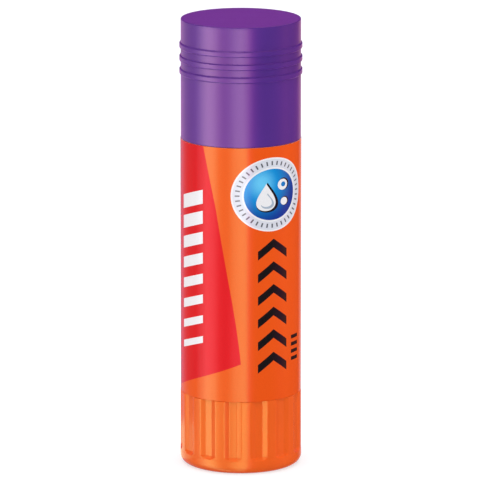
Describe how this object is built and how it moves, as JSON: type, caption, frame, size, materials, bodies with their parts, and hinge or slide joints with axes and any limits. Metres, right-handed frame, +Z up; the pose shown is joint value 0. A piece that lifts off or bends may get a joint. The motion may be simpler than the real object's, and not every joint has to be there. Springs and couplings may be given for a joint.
{
  "type": "glue stick",
  "caption": "Round screw-feed glue stick: ringed pull-off cap, tube with wrap label, glue block in a carrier cup, lead screw and fluted turning base.",
  "frame": {"origin": "middle of the foot that the stick stands on", "axes": "+Z up the stick towards the cap, -Y out of the front of the label"},
  "size_m": [0.0266, 0.0266, 0.0982],
  "materials": {
    "cap_plastic": "satin moulded violet plastic",
    "tube_plastic": "satin moulded orange plastic",
    "printed_film": "glossy printed film, orange and red with a round blue badge",
    "feed_plastic": "plain white moulded plastic",
    "glue_mass": "waxy off-white solid glue"
  },
  "bodies": {
    "barrel": {"barrel": "tube_plastic", "label": "printed_film"},
    "knob": {"turning_knob": "tube_plastic", "lead_screw": "feed_plastic"},
    "carrier": {"glue_carrier": "feed_plastic", "glue": "glue_mass"},
    "cap": {"cap": "cap_plastic"}
  },
  "joints": [
    {"name": "knob_turn", "type": "hinge", "parent": "barrel", "child": "knob", "pos_m": [0, 0, 0], "axis": [0, 0, 1], "range_deg": [0, 3240]},
    {"name": "glue_feed", "type": "slide", "parent": "barrel", "child": "carrier", "axis": [0, 0, 1], "range_m": [0, 0.054]},
    {"name": "cap_pull", "type": "slide", "parent": "carrier", "child": "cap", "axis": [0, 0, 1], "range_m": [0, 0.04]}
  ],
  "couplings": [
    {"joint": "knob_turn", "follows": "glue_feed", "rad_per_m": 1047.2}
  ]
}
